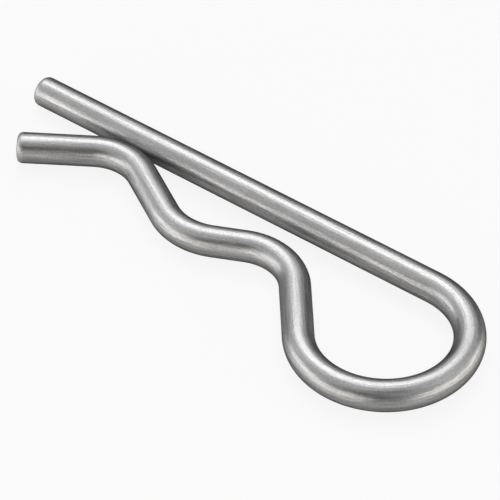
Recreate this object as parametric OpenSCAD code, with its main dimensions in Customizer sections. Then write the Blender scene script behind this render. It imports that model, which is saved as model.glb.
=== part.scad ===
// Hitch R clip: one length of round stainless spring wire, bent in a single plane.
// The straight leg passes through the cross hole of a shaft. The curved leg hugs the shaft
// from outside: its lead-in rides up over the shaft, the hump snaps past it and the seat
// holds it, while the loop at the back is the spring and the finger pull.
//
// Units are millimetres, +Z is up and the clip lies flat. X runs along the straight leg,
// from its cut end at -X to the loop at +X, and the curved leg is on the -Y side.
// The origin is on the ground, under the middle of the clip's outline.

/* [Wire] */
// Diameter of the round spring wire
wire_d = 4; // [3:0.1:5]
// Rounding that tumbling leaves on the rim of both cut ends
rim_r = 0.9; // [0.1:0.05:1]

/* [Straight leg] */
// Length of the straight leg, from its cut end to where the loop begins
leg_len = 62; // [50:0.5:90]

/* [Loop] */
// Clear diameter inside the loop
loop_inner_d = 16.8; // [12:0.1:22]
// Slope of the neck, which climbs from the loop to the shoulder (degrees from the leg)
neck_slope = 51; // [35:1:70]

/* [Shoulder] */
// Clear gap between the shoulder and the straight leg
shoulder_gap = 3.2; // [1.5:0.1:4.5]
// Inside radius of the bend at the shoulder
shoulder_in_r = 5.6; // [3:0.1:9]
// Slope from the shoulder down into the seat (degrees from the leg)
rear_slope = 25; // [15:1:35]

/* [Shaft seat] */
// Clear height of the seat, from the straight leg to the bottom of its curve
seat_gap = 6.5; // [5.5:0.1:9]
// Inside radius of the bend at the seat
seat_in_r = 6.3; // [4:0.1:12]
// Slope from the seat up to the hump (degrees from the leg)
front_slope = 31; // [20:1:45]

/* [Hump and lead-in] */
// Clear gap between the hump and the straight leg, with the clip relaxed
hump_gap = 0.2; // [0.1:0.05:2]
// Inside radius of the bend at the hump
hump_in_r = 5.4; // [3:0.1:9]
// Slope of the lead-in, which splays away from the straight leg (degrees)
lead_slope = 32.5; // [15:0.5:50]
// Length of the straight lead-in, from the hump to its cut end
lead_len = 9.8; // [5:0.1:20]

/* [Hidden] */

// Sides of a full circle, a multiple of four so that bends and straights meet corner to corner
$fn = 96;

wire_r = wire_d / 2;
// The rounding of the rim stays under this share of the wire's radius, to leave a flat on the end
max_rim_share = 0.5;
rim = min(rim_r, max_rim_share * wire_r);

// Bending draws the wire a trace thinner, by this much on the radius
thinning = 0.02;
bend_wire_r = wire_r - thinning;
// Each bend runs this far into the straights on both sides, which makes them one solid
lap_len = 0.2;

// Radii of the bends, on the wire's centre line
loop_r = loop_inner_d / 2 + wire_r;
shoulder_r = shoulder_in_r + wire_r;
seat_r = seat_in_r + wire_r;
hump_r = hump_in_r + wire_r;

// How far the centre line of the curved leg lies from that of the straight leg
loop_depth = 2 * loop_r;
shoulder_depth = wire_d + shoulder_gap;
seat_depth = wire_d + seat_gap;
hump_depth = wire_d + hump_gap;

// Two bends that turn opposite ways are joined by a straight at a slope. Its length comes from
// the change in depth between the two bends and the sum of their radii.
function between(rise, radii, slope) = (rise - radii * (1 - cos(slope))) / sin(slope);

neck_len = between(loop_depth - shoulder_depth, loop_r + shoulder_r, neck_slope);
rear_len = between(seat_depth - shoulder_depth, shoulder_r + seat_r, rear_slope);
front_len = between(seat_depth - hump_depth, seat_r + hump_r, front_slope);

// Overall length, from the cut end of the straight leg to the back of the loop
clip_len = leg_len + loop_r + wire_r;

// The clip is made as a wire former makes it: feed a length, bend, feed, bend. The wire runs
// along +X from the origin, and what follows a feed or a bend starts at its end.

// Feed a straight length of wire
module feed(len) {
    rotate([0, 90, 0]) cylinder(h = len, r = wire_r);
    translate([len, 0, 0]) children();
}

// Bend the wire by an angle round a former, to the left, or to the right if the angle is negative
module bend(r, angle) {
    side = sign(angle);
    lap_angle = lap_len / r * 180 / PI;
    translate([0, side * r, 0]) {
        rotate([0, 0, -side * 90 + min(angle, 0) - lap_angle])
            rotate_extrude(angle = abs(angle) + 2 * lap_angle)
                translate([r, 0]) circle(bend_wire_r);
        rotate([0, 0, angle])
            translate([0, -side * r, 0]) children();
    }
}

// Feed the last length of wire, cut off square and with its rim rounded by tumbling
module cut_end(len)
    rotate([0, 90, 0])
        rotate_extrude() {
            square([wire_r, len - rim]);
            translate([0, len - rim]) square([wire_r - rim, rim]);
            translate([wire_r - rim, len - rim])
                intersection() {
                    circle(rim);
                    square(rim);
                }
        }

// The straight leg, from the start of the loop back to its cut end
module straight_leg()
    rotate([0, 0, 180]) cut_end(leg_len);

// The loop, then the curved leg: neck, shoulder, seat, hump and lead-in
module spring()
    bend(loop_r, -180 - neck_slope)
    feed(neck_len)
    bend(shoulder_r, neck_slope + rear_slope)
    feed(rear_len)
    bend(seat_r, -rear_slope - front_slope)
    feed(front_len)
    bend(hump_r, front_slope + lead_slope)
    cut_end(lead_len);

// The whole clip, one wire
module r_clip()
    color([0.74, 0.74, 0.72])
        translate([leg_len - clip_len / 2, loop_r, wire_r]) {
            straight_leg();
            spring();
        }

r_clip();
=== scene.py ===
# %% [markdown]
# # A hitch clip, bent from one length of spring wire
#
# The clip locks a hitch pin or a clevis pin. Its straight leg goes through a cross hole in
# the pin's shaft, its curved leg snaps round the outside, and the round loop at the back is
# the spring that holds the two together. It has no joint and no second part: the whole thing
# is one round wire, so the whole lesson is about one long surface and how metal shows light.
#
# The imported CAD model comes first. It fixes where the clip is and how large it may be, and
# it stays in the scene, hidden, once the wire stands in for it.

# %% Load the fixed frame
import math

import bpy
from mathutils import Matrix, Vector


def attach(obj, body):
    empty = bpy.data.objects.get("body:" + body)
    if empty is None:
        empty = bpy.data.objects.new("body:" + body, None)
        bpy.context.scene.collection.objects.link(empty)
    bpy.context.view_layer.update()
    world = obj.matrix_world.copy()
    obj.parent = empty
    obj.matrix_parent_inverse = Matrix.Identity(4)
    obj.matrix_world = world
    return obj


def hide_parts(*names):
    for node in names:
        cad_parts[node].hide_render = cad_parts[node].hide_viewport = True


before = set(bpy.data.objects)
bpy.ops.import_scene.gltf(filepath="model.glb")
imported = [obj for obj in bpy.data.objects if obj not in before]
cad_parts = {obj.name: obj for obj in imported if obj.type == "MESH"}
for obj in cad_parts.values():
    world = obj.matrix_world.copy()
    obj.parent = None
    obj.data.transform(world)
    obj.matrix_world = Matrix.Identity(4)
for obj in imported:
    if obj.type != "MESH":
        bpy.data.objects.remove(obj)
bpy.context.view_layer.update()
MM = 0.001  # a millimetre, in Blender's metres

# %% [markdown]
# ## The camera
#
# A long lens from well back keeps the wire nearly the same thickness from one end of the
# picture to the other. The camera's place is given in plain terms: which way it looks, how
# high it stands, and how far it is from the point that it is aimed at.

# %% Place the camera
aim_point = Vector((2.81, 2.24, 2.0)) * MM
camera_azimuth = math.radians(36.99)
camera_elevation = math.radians(42.91)
camera_distance = 466.4 * MM
lens_mm = 271.04

towards_camera = Vector((
    math.sin(camera_azimuth) * math.cos(camera_elevation),
    -math.cos(camera_azimuth) * math.cos(camera_elevation),
    math.sin(camera_elevation),
))
camera_data = bpy.data.cameras.new("camera")
camera_data.lens = lens_mm
camera = bpy.data.objects.new("camera", camera_data)
bpy.context.scene.collection.objects.link(camera)
camera.location = aim_point + camera_distance * towards_camera
camera.rotation_euler = (-towards_camera).to_track_quat("-Z", "Y").to_euler()
bpy.context.scene.camera = camera
print("camera at", [round(v / MM, 1) for v in camera.location], "mm")

# %% [markdown]
# ## The wire and its bends
#
# On the real clip a coil of hard-drawn wire is straightened, fed into a forming machine, and
# bent round one pin after another, always in the same plane. A curve with a round bevel
# would give such a tube quickly, but its rings bunch up in tight bends and its ends are
# hard to round. So the wire is made as the machine makes it: a circle is the wire's section,
# each straight is an extrusion of that circle, and each bend is a spin of it round the
# forming pin. The sizes are those of the CAD part, in millimetres.

# %% The clip's sizes
wire_d = 4.0
wire_r = wire_d / 2
rim_r = 0.9

leg_len = 62.0
loop_inner_d = 16.8
neck_slope = 51.0
shoulder_gap, shoulder_in_r, rear_slope = 3.2, 5.6, 25.0
seat_gap, seat_in_r, front_slope = 6.5, 6.3, 31.0
hump_gap, hump_in_r, lead_slope, lead_len = 0.2, 5.4, 32.5, 9.8

loop_r = loop_inner_d / 2 + wire_r
shoulder_r = shoulder_in_r + wire_r
seat_r = seat_in_r + wire_r
hump_r = hump_in_r + wire_r


def between(rise, radii, slope):
    """The straight between two opposite bends, from the change in depth between them."""
    slope = math.radians(slope)
    return (rise - radii * (1 - math.cos(slope))) / math.sin(slope)


neck_len = between(2 * loop_r - (wire_d + shoulder_gap), loop_r + shoulder_r, neck_slope)
rear_len = between(seat_gap - shoulder_gap, shoulder_r + seat_r, rear_slope)
front_len = between(seat_gap - hump_gap, seat_r + hump_r, front_slope)
clip_len = leg_len + loop_r + wire_r
print("straights between bends, mm:", [round(v, 2) for v in (neck_len, rear_len, front_len)])

# %% [markdown]
# The forming machine works through a list of steps, and so does this script: feed so much
# wire, then bend it so far round a pin of such a radius. Seen from above, a positive angle
# turns to the left and a negative one to the right. Each angle is the sum of the slopes
# before and after the bend, so every straight runs as steeply as it should.

# %% The forming programme, from the leg's cut end to the lead-in's cut end
FEED, BEND = "feed", "bend"
rim_room = 1.1  # the first and last stretch is one long step, where the rim is rounded later
programme = [
    (FEED, rim_room),
    (FEED, leg_len - rim_room),
    (BEND, loop_r, -180 - neck_slope),
    (FEED, neck_len),
    (BEND, shoulder_r, neck_slope + rear_slope),
    (FEED, rear_len),
    (BEND, seat_r, -rear_slope - front_slope),
    (FEED, front_len),
    (BEND, hump_r, front_slope + lead_slope),
    (FEED, lead_len - rim_room),
    (FEED, rim_room),
]
leg_end = Vector((-clip_len / 2, loop_r, wire_r))
print(len(programme), "steps, starting at", [round(v, 2) for v in leg_end], "mm")

# %% [markdown]
# Every operator works on what is selected, and loading the frame leaves the CAD part
# selected, so everything is deselected first. The circle gets enough sides for a smooth
# outline close up, and rings follow one another every half millimetre or so, which is fine
# enough to carry the surface's pattern round the bends.

# %% The section of the wire
ring_sides = 96
ring_step = 0.6

bpy.ops.object.select_all(action="DESELECT")
bpy.ops.mesh.primitive_circle_add(
    vertices=ring_sides, radius=wire_r * MM, fill_type="NOTHING",
    location=leg_end * MM, rotation=(0, math.pi / 2, 0),
)
wire = bpy.context.active_object
wire.name = wire.data.name = "spring_wire"
bpy.ops.object.transform_apply(location=True, rotation=True, scale=True)
print(wire.name, "starts as a ring of", len(wire.data.vertices), "points")

# %% [markdown]
# Each feed is an extrusion of the open ring at the wire's end, and each bend is a spin of it
# round the pin. The script keeps count of where that end is and which way it heads. It also
# writes every stretch down in a route, which tells later where each point of the surface
# lay before the bending.

# %% Feed and bend the wire
SPIN_AXIS = (0, 0, -1)  # spin turns clockwise about its axis, so the axis points down

bpy.ops.object.mode_set(mode="EDIT")
bpy.ops.mesh.select_all(action="SELECT")
place, heading = leg_end.copy(), 0.0
route = []
for step in programme:
    ahead = Vector((math.cos(heading), math.sin(heading), 0))
    if step[0] == FEED:
        length = step[1]
        steps = 1 if length == rim_room else round(length / ring_step)
        bpy.ops.mesh.extrude_repeat(steps=steps, offset=ahead * length / steps * MM)
        route.append((FEED, place.copy(), heading, length, 0.0))
        place += ahead * length
    else:
        radius, angle = step[1], math.radians(step[2])
        turn = math.copysign(1, angle)
        left = Vector((-ahead.y, ahead.x, 0))
        pin = place + turn * radius * left
        steps = round(radius * abs(angle) / ring_step)
        bpy.ops.mesh.spin(
            steps=steps, angle=angle, center=pin * MM, axis=SPIN_AXIS, dupli=False,
        )
        route.append((BEND, place.copy(), heading, radius * abs(angle), turn / radius))
        heading += angle
        place = pin - turn * radius * Vector((-math.sin(heading), math.cos(heading), 0))
bpy.ops.object.mode_set(mode="OBJECT")
print("the wire ends at", [round(v, 2) for v in place], "mm")
print("heading", round(math.degrees(heading), 1), "degrees")
print(wire.name, len(wire.data.vertices), "points", len(wire.data.polygons), "faces")

# %% [markdown]
# ## The cut ends
#
# The wire is sheared off square, and then whole batches of clips tumble together, which
# rounds the rim of each cut over almost a millimetre. The open ring at each end is filled
# with one face, the edge round it gets a bevel that is a little squarer than a true round,
# and insets carry flat rings in towards the middle, so that the face shades flat up to
# where the rounding begins.

# %% Close and round both ends
RIM_SQUARENESS = 0.6  # 0.5 is a true round, and 1 would be no rounding at all
RIM_SEGMENTS = 10
RING_WIDTHS = (0.3, 0.3, 0.3)  # in millimetres, from the rounding inwards
SLACK = 0.001  # in millimetres or radians, more than any error of rounding numbers


def select_ring(mesh, centre, reach):
    """Selects the edges whose two points both lie within reach of a place, in millimetres."""
    near = [(v.co / MM - centre).length < reach for v in mesh.vertices]
    for edge in mesh.edges:
        edge.select = near[edge.vertices[0]] and near[edge.vertices[1]]


def close_end(ob, centre):
    """Fills the open ring round a cut end's middle and rounds its rim."""
    bpy.ops.object.mode_set(mode="EDIT")
    bpy.ops.mesh.select_mode(type="EDGE")
    bpy.ops.mesh.select_all(action="DESELECT")
    bpy.ops.object.mode_set(mode="OBJECT")
    select_ring(ob.data, centre, wire_r + SLACK)
    bpy.ops.object.mode_set(mode="EDIT")
    bpy.ops.mesh.edge_face_add()
    bpy.ops.mesh.bevel(
        offset=rim_r * MM, segments=RIM_SEGMENTS, profile=RIM_SQUARENESS, affect="EDGES",
    )
    bpy.ops.mesh.select_all(action="DESELECT")
    bpy.ops.mesh.select_mode(type="FACE")
    bpy.ops.object.mode_set(mode="OBJECT")
    cap = min(ob.data.polygons, key=lambda face: (face.center / MM - centre).length)
    cap.select = True
    bpy.ops.object.mode_set(mode="EDIT")
    for width in RING_WIDTHS:
        bpy.ops.mesh.inset(thickness=width * MM)
    bpy.ops.mesh.poke()
    bpy.ops.object.mode_set(mode="OBJECT")
    print("closed the end at", [round(v, 2) for v in centre], "mm")


close_end(wire, leg_end)
close_end(wire, place)

# %% [markdown]
# Extruding an open ring can leave its faces looking inwards. Now that both ends are closed,
# Blender can tell the inside from the outside, so the faces are turned outwards here. Smooth
# shading then hides the rings and facets of what is really one round wire.

# %% Turn the faces outwards and shade them smooth
bpy.ops.object.mode_set(mode="EDIT")
bpy.ops.mesh.select_all(action="SELECT")
bpy.ops.mesh.normals_make_consistent(inside=False)
bpy.ops.object.mode_set(mode="OBJECT")
bpy.ops.object.shade_smooth()
print(wire.name, len(wire.data.vertices), "points", len(wire.data.polygons), "faces")

# %% [markdown]
# ## Where each point lay on the straight wire
#
# Drawing the wire through a die leaves fine lines along its length, and bending it takes
# them round every bend. Noise on the object's own coordinates can't follow a bend, so each
# point gets an attribute that says where it lay before the bending, as if the wire were
# still straight: how far along, how far to the left and how far up. A pattern that reads
# this attribute and is stretched along its first axis then follows the wire.

# %% Measure the straight wire
def unbend(point):
    """The place of a point, in mm, on the wire before it was bent."""
    before = 0.0
    for kind, start, heading, length, curvature in route:
        ahead = Vector((math.cos(heading), math.sin(heading), 0))
        left = Vector((-ahead.y, ahead.x, 0))
        out = point - start
        along, aside = out.dot(ahead), out.dot(left)
        if kind == BEND:
            radius, turn = 1 / abs(curvature), math.copysign(1, curvature)
            from_pin = radius - turn * aside
            swept = math.atan2(along, from_pin) % (2 * math.pi)
            if swept > math.pi and swept - 2 * math.pi > -SLACK:
                swept -= 2 * math.pi
            along = radius * swept
            aside = turn * (radius - math.hypot(out.dot(ahead), from_pin))
        if -SLACK <= along <= length + SLACK and abs(aside) < wire_r + SLACK:
            return Vector((before + along, aside, point.z - wire_r))
        before += length
    raise ValueError(f"{point} isn't on the wire")


straight = wire.data.attributes.new("straight_wire", "FLOAT_VECTOR", "POINT")
for vertex in wire.data.vertices:
    straight.data[vertex.index].vector = unbend(vertex.co / MM) * MM
wire_length = sum(part[3] for part in route)
print("the straight wire is", round(wire_length, 1), "mm long")

# %% [markdown]
# ## The finish: tumbled stainless spring wire
#
# Stainless wire is drawn through a die, which leaves a soft shine and faint lines along its
# length. The bent clips then tumble in a barrel of ceramic stones. That presses a fine grit
# over the lines and turns the shine to satin, so lamps show in the wire as soft bands with
# sparkling edges. A picture of scratched steel could be wrapped round the wire, but it would
# repeat. So one metal shader gives the bands and noise gives the rest, because the marks of
# a die and of tumbling stones never repeat either.
#
# Two small helpers come first. One turns a colour written in hex into the linear numbers
# that shaders work with, and one adds a node with its settings and links.

# %% Colours and nodes
def linear(hex_colour):
    """A colour written as sRGB hex, as the linear numbers that shaders work with."""
    parts = [int(hex_colour[i:i + 2], 16) / 255 for i in (1, 3, 5)]
    parts = [c / 12.92 if c <= 0.04045 else ((c + 0.055) / 1.055) ** 2.4 for c in parts]
    return (*parts, 1.0)


def add_node(tree, kind, inputs=None, **settings):
    """Adds one node. Inputs go by name or number, each a value or another node's output."""
    node = tree.nodes.new(kind)
    for name, value in settings.items():
        setattr(node, name, value)
    for name, value in (inputs or {}).items():
        if isinstance(value, bpy.types.NodeSocket):
            tree.links.new(value, node.inputs[name])
        else:
            node.inputs[name].default_value = value
    return node


steel = bpy.data.materials.new("tumbled stainless spring wire")
steel.use_nodes = True
tree = steel.node_tree
tree.nodes.clear()
print("mid grey #808080 is", round(linear("#808080")[0], 3), "in linear numbers")

# %% [markdown]
# Each pattern is noise whose patches have a size in millimetres, measured on the straight
# wire: along it, to its side and upwards. When the whole clip is in view, nothing finer than
# about 0.15 mm can be seen, so what is really finer is drawn coarser, as noted beside it, and
# then only just shows. The rest is as large as it really is.

# %% The patterns of the surface
straight_place = add_node(tree, "ShaderNodeAttribute", attribute_name="straight_wire")
place_mm = add_node(
    tree, "ShaderNodeVectorMath", {0: straight_place.outputs["Vector"], "Scale": 1 / MM},
    operation="SCALE",
).outputs["Vector"]

# name, length, width and height of a patch, levels of finer detail, strength of those
pattern_sizes = (
    ("die lines", 9.0, 0.28, 0.28, 3.0, 0.65),  # really 0.02 to 0.05 mm wide
    ("roll lines", 6.0, 0.20, 0.20, 3.0, 0.75),  # really about 0.1 mm wide
    ("stone marks", 3.0, 1.2, 1.2, 3.0, 0.5),
    ("shear lines", 3.0, 0.22, 2.2, 2.0, 0.6),  # really about 0.1 mm wide
    ("grit", 0.27, 0.21, 0.21, 2.0, 0.6),  # really 0.05 mm or less
    ("speckle", 0.24, 0.20, 0.20, 1.0, 0.5),  # the sparkle of that grit
    ("pits", 0.50, 0.42, 0.42, 1.0, 0.5),  # only the middle of a patch shows as a pit
)
patterns = {}
for name, along, across, upwards, detail, fineness in pattern_sizes:
    stretched = add_node(tree, "ShaderNodeVectorMath", {
        0: place_mm, 1: (1 / along, 1 / across, 1 / upwards),
    }, operation="MULTIPLY")
    patterns[name] = add_node(tree, "ShaderNodeTexNoise", {
        "Vector": stretched.outputs["Vector"], "Scale": 1.0, "Detail": detail,
        "Roughness": fineness,
    }).outputs["Fac"]
print("patterns:", ", ".join(patterns))

# %% [markdown]
# A sheared face is rougher than drawn wire, with fine lines where the blade went through,
# and tumbling wears its rim matt and a little bright. The paler colour of the ends is partly
# that wear and partly a painted highlight where the rounded rims catch the light. So the two
# cut ends need to know that they are ends. The first number of the straight wire's
# coordinates says how far along a place is. Its distance from the middle of the wire rises
# to half the length on both faces, and a Map Range turns the last stretch into 0 to 1.

# %% How near a place is to a cut end
worn_len = 0.9
straight_axes = add_node(tree, "ShaderNodeSeparateXYZ", {0: place_mm})
from_middle = add_node(tree, "ShaderNodeMath", {
    0: straight_axes.outputs["X"], 1: wire_length / 2,
}, operation="SUBTRACT").outputs[0]
from_middle = add_node(
    tree, "ShaderNodeMath", {0: from_middle}, operation="ABSOLUTE",
).outputs[0]
cut_end = add_node(tree, "ShaderNodeMapRange", {
    "Value": from_middle, "From Min": wire_length / 2 - worn_len, "From Max": wire_length / 2,
}).outputs["Result"]
print("each end is worn over", worn_len, "mm of", round(wire_length, 1), "mm")

# %% [markdown]
# Before it is bent, the wire is pulled between two rows of rollers that straighten it. They
# press on two opposite sides, which are left with fine lines and a little rougher, while the
# top and the bottom stay clean. How far a place lies to one side is the second number of
# the straight wire's coordinates, and another Map Range turns that into a mask of the sides.

# %% How near a place is to a rolled side
clean_side, rolled_side = 0.60 * wire_r, 0.92 * wire_r
aside = add_node(
    tree, "ShaderNodeMath", {0: straight_axes.outputs["Y"]}, operation="ABSOLUTE",
).outputs[0]
rolled = add_node(tree, "ShaderNodeMapRange", {
    "Value": aside, "From Min": clean_side, "From Max": rolled_side,
}).outputs["Result"]
print("the rollers' marks begin", round(clean_side, 2), "mm to either side")

# %% [markdown]
# The relief adds the patterns up, each with its own depth, and a Bump node tilts the light
# by it. The shape itself stays smooth, because the deepest of these marks is only a few
# hundredths of a millimetre. Noise stays near the middle of its range, so a pit, which is a
# rare thing, is where one of the noises goes far above it. The lines of the shears are
# multiplied by the nearness of a cut end, which leaves them on the ends alone.

# %% The relief
relief_depth = 0.022 * MM  # the depths below are shares of this
die_depth, stone_depth, grit_depth, shear_depth = 1.4, 1.2, 0.65, 0.8
pit_edge, pit_bottom, pit_depth = 0.70, 0.78, 0.4  # a pit is where its noise is this high

pit = add_node(tree, "ShaderNodeMapRange", {
    "Value": patterns["pits"], "From Min": pit_edge, "From Max": pit_bottom,
}).outputs["Result"]
shear_line = add_node(tree, "ShaderNodeMath", {
    0: patterns["shear lines"], 1: cut_end,
}, operation="MULTIPLY").outputs[0]
height = 0.0
for amount, depth in (
    (patterns["die lines"], die_depth), (patterns["stone marks"], stone_depth),
    (patterns["grit"], grit_depth), (pit, -pit_depth), (shear_line, shear_depth),
):
    height = add_node(tree, "ShaderNodeMath", {
        0: amount, 1: depth, 2: height,
    }, operation="MULTIPLY_ADD").outputs[0]
relief = add_node(tree, "ShaderNodeBump", {
    "Strength": 1.0, "Distance": relief_depth, "Height": height,
}).outputs["Normal"]
print("a pit is", round(pit_depth * relief_depth / MM, 4), "mm deep")

# %% [markdown]
# Satin steel has a roughness of about 0.3. Grit makes it vary from point to point, and the
# stones' marks make it vary from patch to patch. The rolled sides are a little rougher, which
# softens the line of light along them, and the cut ends are a good deal rougher.

# %% The shine
noise_low, noise_high = 0.3, 0.7  # nearly all of a noise lies between these
smooth_grain, rough_grain = 0.25, 0.30
stone_roughness, roll_roughness, end_roughness = 0.10, 0.07, 0.25  # added by each tool

shine = add_node(tree, "ShaderNodeMapRange", {
    "Value": patterns["grit"], "From Min": noise_low, "From Max": noise_high,
    "To Min": smooth_grain, "To Max": rough_grain,
}).outputs["Result"]
for amount, added in (
    (patterns["stone marks"], stone_roughness), (rolled, roll_roughness),
    (cut_end, end_roughness),
):
    shine = add_node(tree, "ShaderNodeMath", {
        0: amount, 1: added, 2: shine,
    }, operation="MULTIPLY_ADD").outputs[0]
wire_roughness = (smooth_grain + rough_grain + stone_roughness) / 2
print("roughness", round(wire_roughness, 3), "and", end_roughness, "more on the cut ends")

# %% [markdown]
# Stainless steel reflects about half the light, with hardly any colour of its own. Speckle,
# the die's lines and the stones' marks move that by up to a sixth up and down.

# %% The tone
dark_steel, light_steel = linear("#A7A7A7"), linear("#C2C2C2")
speckle_share, die_share, stone_share = 0.7, 0.5, 0.25
tone_low, tone_high = 0.545, 0.905  # the least and the most of the patterns together

tone = 0.0
for name, share in (
    ("speckle", speckle_share), ("die lines", die_share), ("stone marks", stone_share),
):
    tone = add_node(tree, "ShaderNodeMath", {
        0: patterns[name], 1: share, 2: tone,
    }, operation="MULTIPLY_ADD").outputs[0]
tone = add_node(tree, "ShaderNodeMapRange", {
    "Value": tone, "From Min": tone_low, "From Max": tone_high,
}).outputs["Result"]
wire_colour = add_node(tree, "ShaderNodeMix", {
    "Factor": tone, "A": dark_steel, "B": light_steel,
}, data_type="RGBA").outputs["Result"]
print("steel reflects from", round(dark_steel[0], 2), "to", round(light_steel[0], 2))

# %% [markdown]
# Some of the rollers' lines are paler than the steel, and some are darker. Paint would be
# mixed in, but a line in bare metal only changes how much light it gives back, so the
# steel's colour is multiplied by the lines. The mask keeps them on the rolled sides.

# %% The lines of the straightening rollers
line_low, line_high = 0.36, 0.64
pale_line, dark_line = 1.22, 0.70  # times the steel's own tone

line_tone = add_node(tree, "ShaderNodeMapRange", {
    "Value": patterns["roll lines"], "From Min": line_low, "From Max": line_high,
    "To Min": pale_line, "To Max": dark_line,
}).outputs["Result"]
line_tone = add_node(tree, "ShaderNodeMix", {
    "Factor": rolled, "A": 1.0, "B": line_tone,
}, data_type="FLOAT").outputs["Result"]
wire_colour = add_node(tree, "ShaderNodeVectorMath", {
    0: wire_colour, "Scale": line_tone,
}, operation="SCALE").outputs["Vector"]
print("lines go from", dark_line, "to", pale_line, "times the steel's tone")

# %% [markdown]
# The ends are paler than the rest, apart from the lines of the shears: partly wear, and
# partly a painted highlight where the rims catch the light. The metal shader then takes the
# colour, the shine and the relief. Its specular tint is the colour of the reflection at a
# glancing angle, and black there darkens every edge of the wire: partly the shadowing that
# satin roughness really gives, and partly painted shade for a dark room mirrored there.

# %% The steel
# the paler end colour is partly wear and partly a painted highlight
worn_and_highlit_steel, torn_steel = linear("#DADADA"), linear("#C2C2C2")

torn = add_node(tree, "ShaderNodeMapRange", {
    "Value": patterns["shear lines"], "From Min": line_low, "From Max": line_high,
}).outputs["Result"]
end_colour_and_highlight = add_node(tree, "ShaderNodeMix", {
    "Factor": torn, "A": worn_and_highlit_steel, "B": torn_steel,
}, data_type="RGBA").outputs["Result"]
steel_colour = add_node(tree, "ShaderNodeMix", {
    "Factor": cut_end, "A": wire_colour, "B": end_colour_and_highlight,
}, data_type="RGBA").outputs["Result"]
# black specular tint: painted shade on every glancing edge, on top of real satin shadowing
steel_shader = add_node(tree, "ShaderNodeBsdfPrincipled", {
    "Base Color": steel_colour, "Metallic": 1.0, "Roughness": shine,
    "Specular Tint": (0, 0, 0, 1), "Normal": relief,
})
add_node(tree, "ShaderNodeOutputMaterial", {"Surface": steel_shader.outputs[0]})
wire.data.materials.append(steel)
print(steel.name, "has", len(tree.nodes), "nodes")

# %% [markdown]
# ## Joining the frame
#
# The wire rides on the clip's one body and stands in for the CAD part, which stays hidden
# and keeps working for collisions.

# %% Join the wire to the frame
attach(wire, "root")
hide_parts("r_clip")
print(wire.name, "stands for", "r_clip")

# %% [markdown]
# ## The floor
#
# The clip lies on a sheet of satin white plastic, as small parts do in a catalogue. It is a
# real surface, so it takes the clip's shadow, and its soft gloss brightens the underside of
# the wire where the walls of the room shine along it. A pale floor would need too much
# light on it to look white, and the clip would then be too light as well. So the camera sees
# it mixed with plain white, which is as bright as a strength of 1. Mirrors and glass see a
# little of that white too.

# %% The floor
floor_size = 4.0
sheet_white, sheet_roughness = linear("#DCDCDC"), 0.3
white_share, mirrored_share = 0.88, 0.09  # of what the camera sees, and of that again

bpy.ops.object.select_all(action="DESELECT")
bpy.ops.mesh.primitive_plane_add(size=floor_size, location=(0, 0, 0))
floor = bpy.context.active_object
floor.name = floor.data.name = "floor"
sheet = bpy.data.materials.new("satin white plastic sheet")
sheet.use_nodes = True
tree = sheet.node_tree
tree.nodes.clear()
lit_sheet = add_node(tree, "ShaderNodeBsdfPrincipled", {
    "Base Color": sheet_white, "Roughness": sheet_roughness,
})
white = add_node(tree, "ShaderNodeEmission", {"Color": (1, 1, 1, 1), "Strength": 1.0})
rays = add_node(tree, "ShaderNodeLightPath")
mirrored = add_node(tree, "ShaderNodeMath", {
    0: rays.outputs["Is Glossy Ray"], 1: rays.outputs["Is Transmission Ray"],
}, operation="MAXIMUM").outputs[0]
sees_white = add_node(tree, "ShaderNodeMath", {
    0: mirrored, 1: mirrored_share, 2: rays.outputs["Is Camera Ray"],
}, operation="MULTIPLY_ADD").outputs[0]
sees_white = add_node(tree, "ShaderNodeMath", {
    0: sees_white, 1: white_share,
}, operation="MULTIPLY").outputs[0]
floor_mix = add_node(tree, "ShaderNodeMixShader", {
    "Fac": sees_white, 1: lit_sheet.outputs[0], 2: white.outputs[0],
})
add_node(tree, "ShaderNodeOutputMaterial", {"Surface": floor_mix.outputs[0]})
floor.data.materials.append(sheet)
print("the floor is", floor_size, "m wide")

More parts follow.
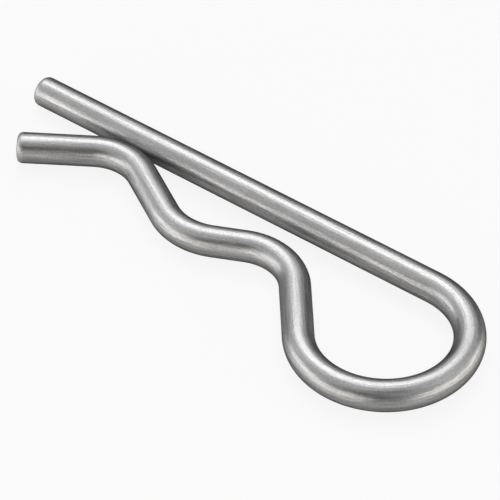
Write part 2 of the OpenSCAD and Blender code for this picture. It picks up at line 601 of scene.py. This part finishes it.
# %% [markdown]
# ## The lamps
#
# Metal shows what stands round it more than it shows itself, so lighting it means choosing
# what it mirrors. Along the top of the wire runs the bright line of the key lamp, behind
# and above. Wide soft lamps overhead and on both sides make the greys between. Low, long
# lamps stand for the walls of a room, two of them a little warm, and give the second,
# lower line of light. Dark gaps between them are as important: they draw the wire's shape.
#
# Each is a soft rectangle that faces the clip. Its brightness is that of its face, where 1
# is white, and a rectangle that bright needs 4 watts for each square metre.

# %% Softboxes
lamp_distance = 1.0
watts_per_square_metre = 4  # for a face whose brightness is 1
neutral, almost_neutral, warm = (1.0, 1.0, 1.0), (1.0, 0.995, 0.985), (1.0, 0.955, 0.9)

# name, azimuth and elevation in degrees, width and height in metres, brightness, tint
softboxes = (
    ("key, behind and above", 217, 55.4, 0.69, 0.42, 1.33, neutral),
    ("overhead fill", 184, 57.5, 2.18, 1.43, 0.46, neutral),
    ("high on the left", 283, 54.0, 1.68, 1.80, 0.49, neutral),
    ("high on the right", 88, 42.0, 1.30, 0.90, 0.28, neutral),
    ("left wall", 307, 10.3, 0.98, 0.34, 1.81, almost_neutral),
    ("front wall", 354, 10.3, 0.98, 0.34, 1.81, warm),
    ("right wall", 112, 10.3, 1.90, 0.36, 1.85, warm),
)
for name, azimuth, elevation, width, height, brightness, tint in softboxes:
    turn, rise = math.radians(azimuth), math.radians(elevation)
    towards_lamp = Vector((
        math.sin(turn) * math.cos(rise), -math.cos(turn) * math.cos(rise), math.sin(rise),
    ))
    lamp_data = bpy.data.lights.new(name, "AREA")
    lamp_data.shape = "RECTANGLE"
    lamp_data.size, lamp_data.size_y = width, height
    lamp_data.energy = watts_per_square_metre * width * height * brightness
    lamp_data.color = tint
    lamp = bpy.data.objects.new(name, lamp_data)
    bpy.context.scene.collection.objects.link(lamp)
    lamp.location = lamp_distance * towards_lamp
    lamp.rotation_euler = (-towards_lamp).to_track_quat("-Z", "Y").to_euler()
    print(f"{name}: {lamp_data.energy:.2f} W")

# %% [markdown]
# The rest of the room is a dark plain grey, which keeps the gaps between the lamps dark. The
# Standard view shows each colour as it is, with no film look added.

# %% The room
room_grey = 0.06
world = bpy.data.worlds.new("studio")
bpy.context.scene.world = world
world.use_nodes = True
background = world.node_tree.nodes["Background"]
background.inputs["Color"].default_value = (room_grey, room_grey, room_grey, 1)
bpy.context.scene.view_settings.view_transform = "Standard"
print("room grey", room_grey, "with", len(softboxes), "lamps")
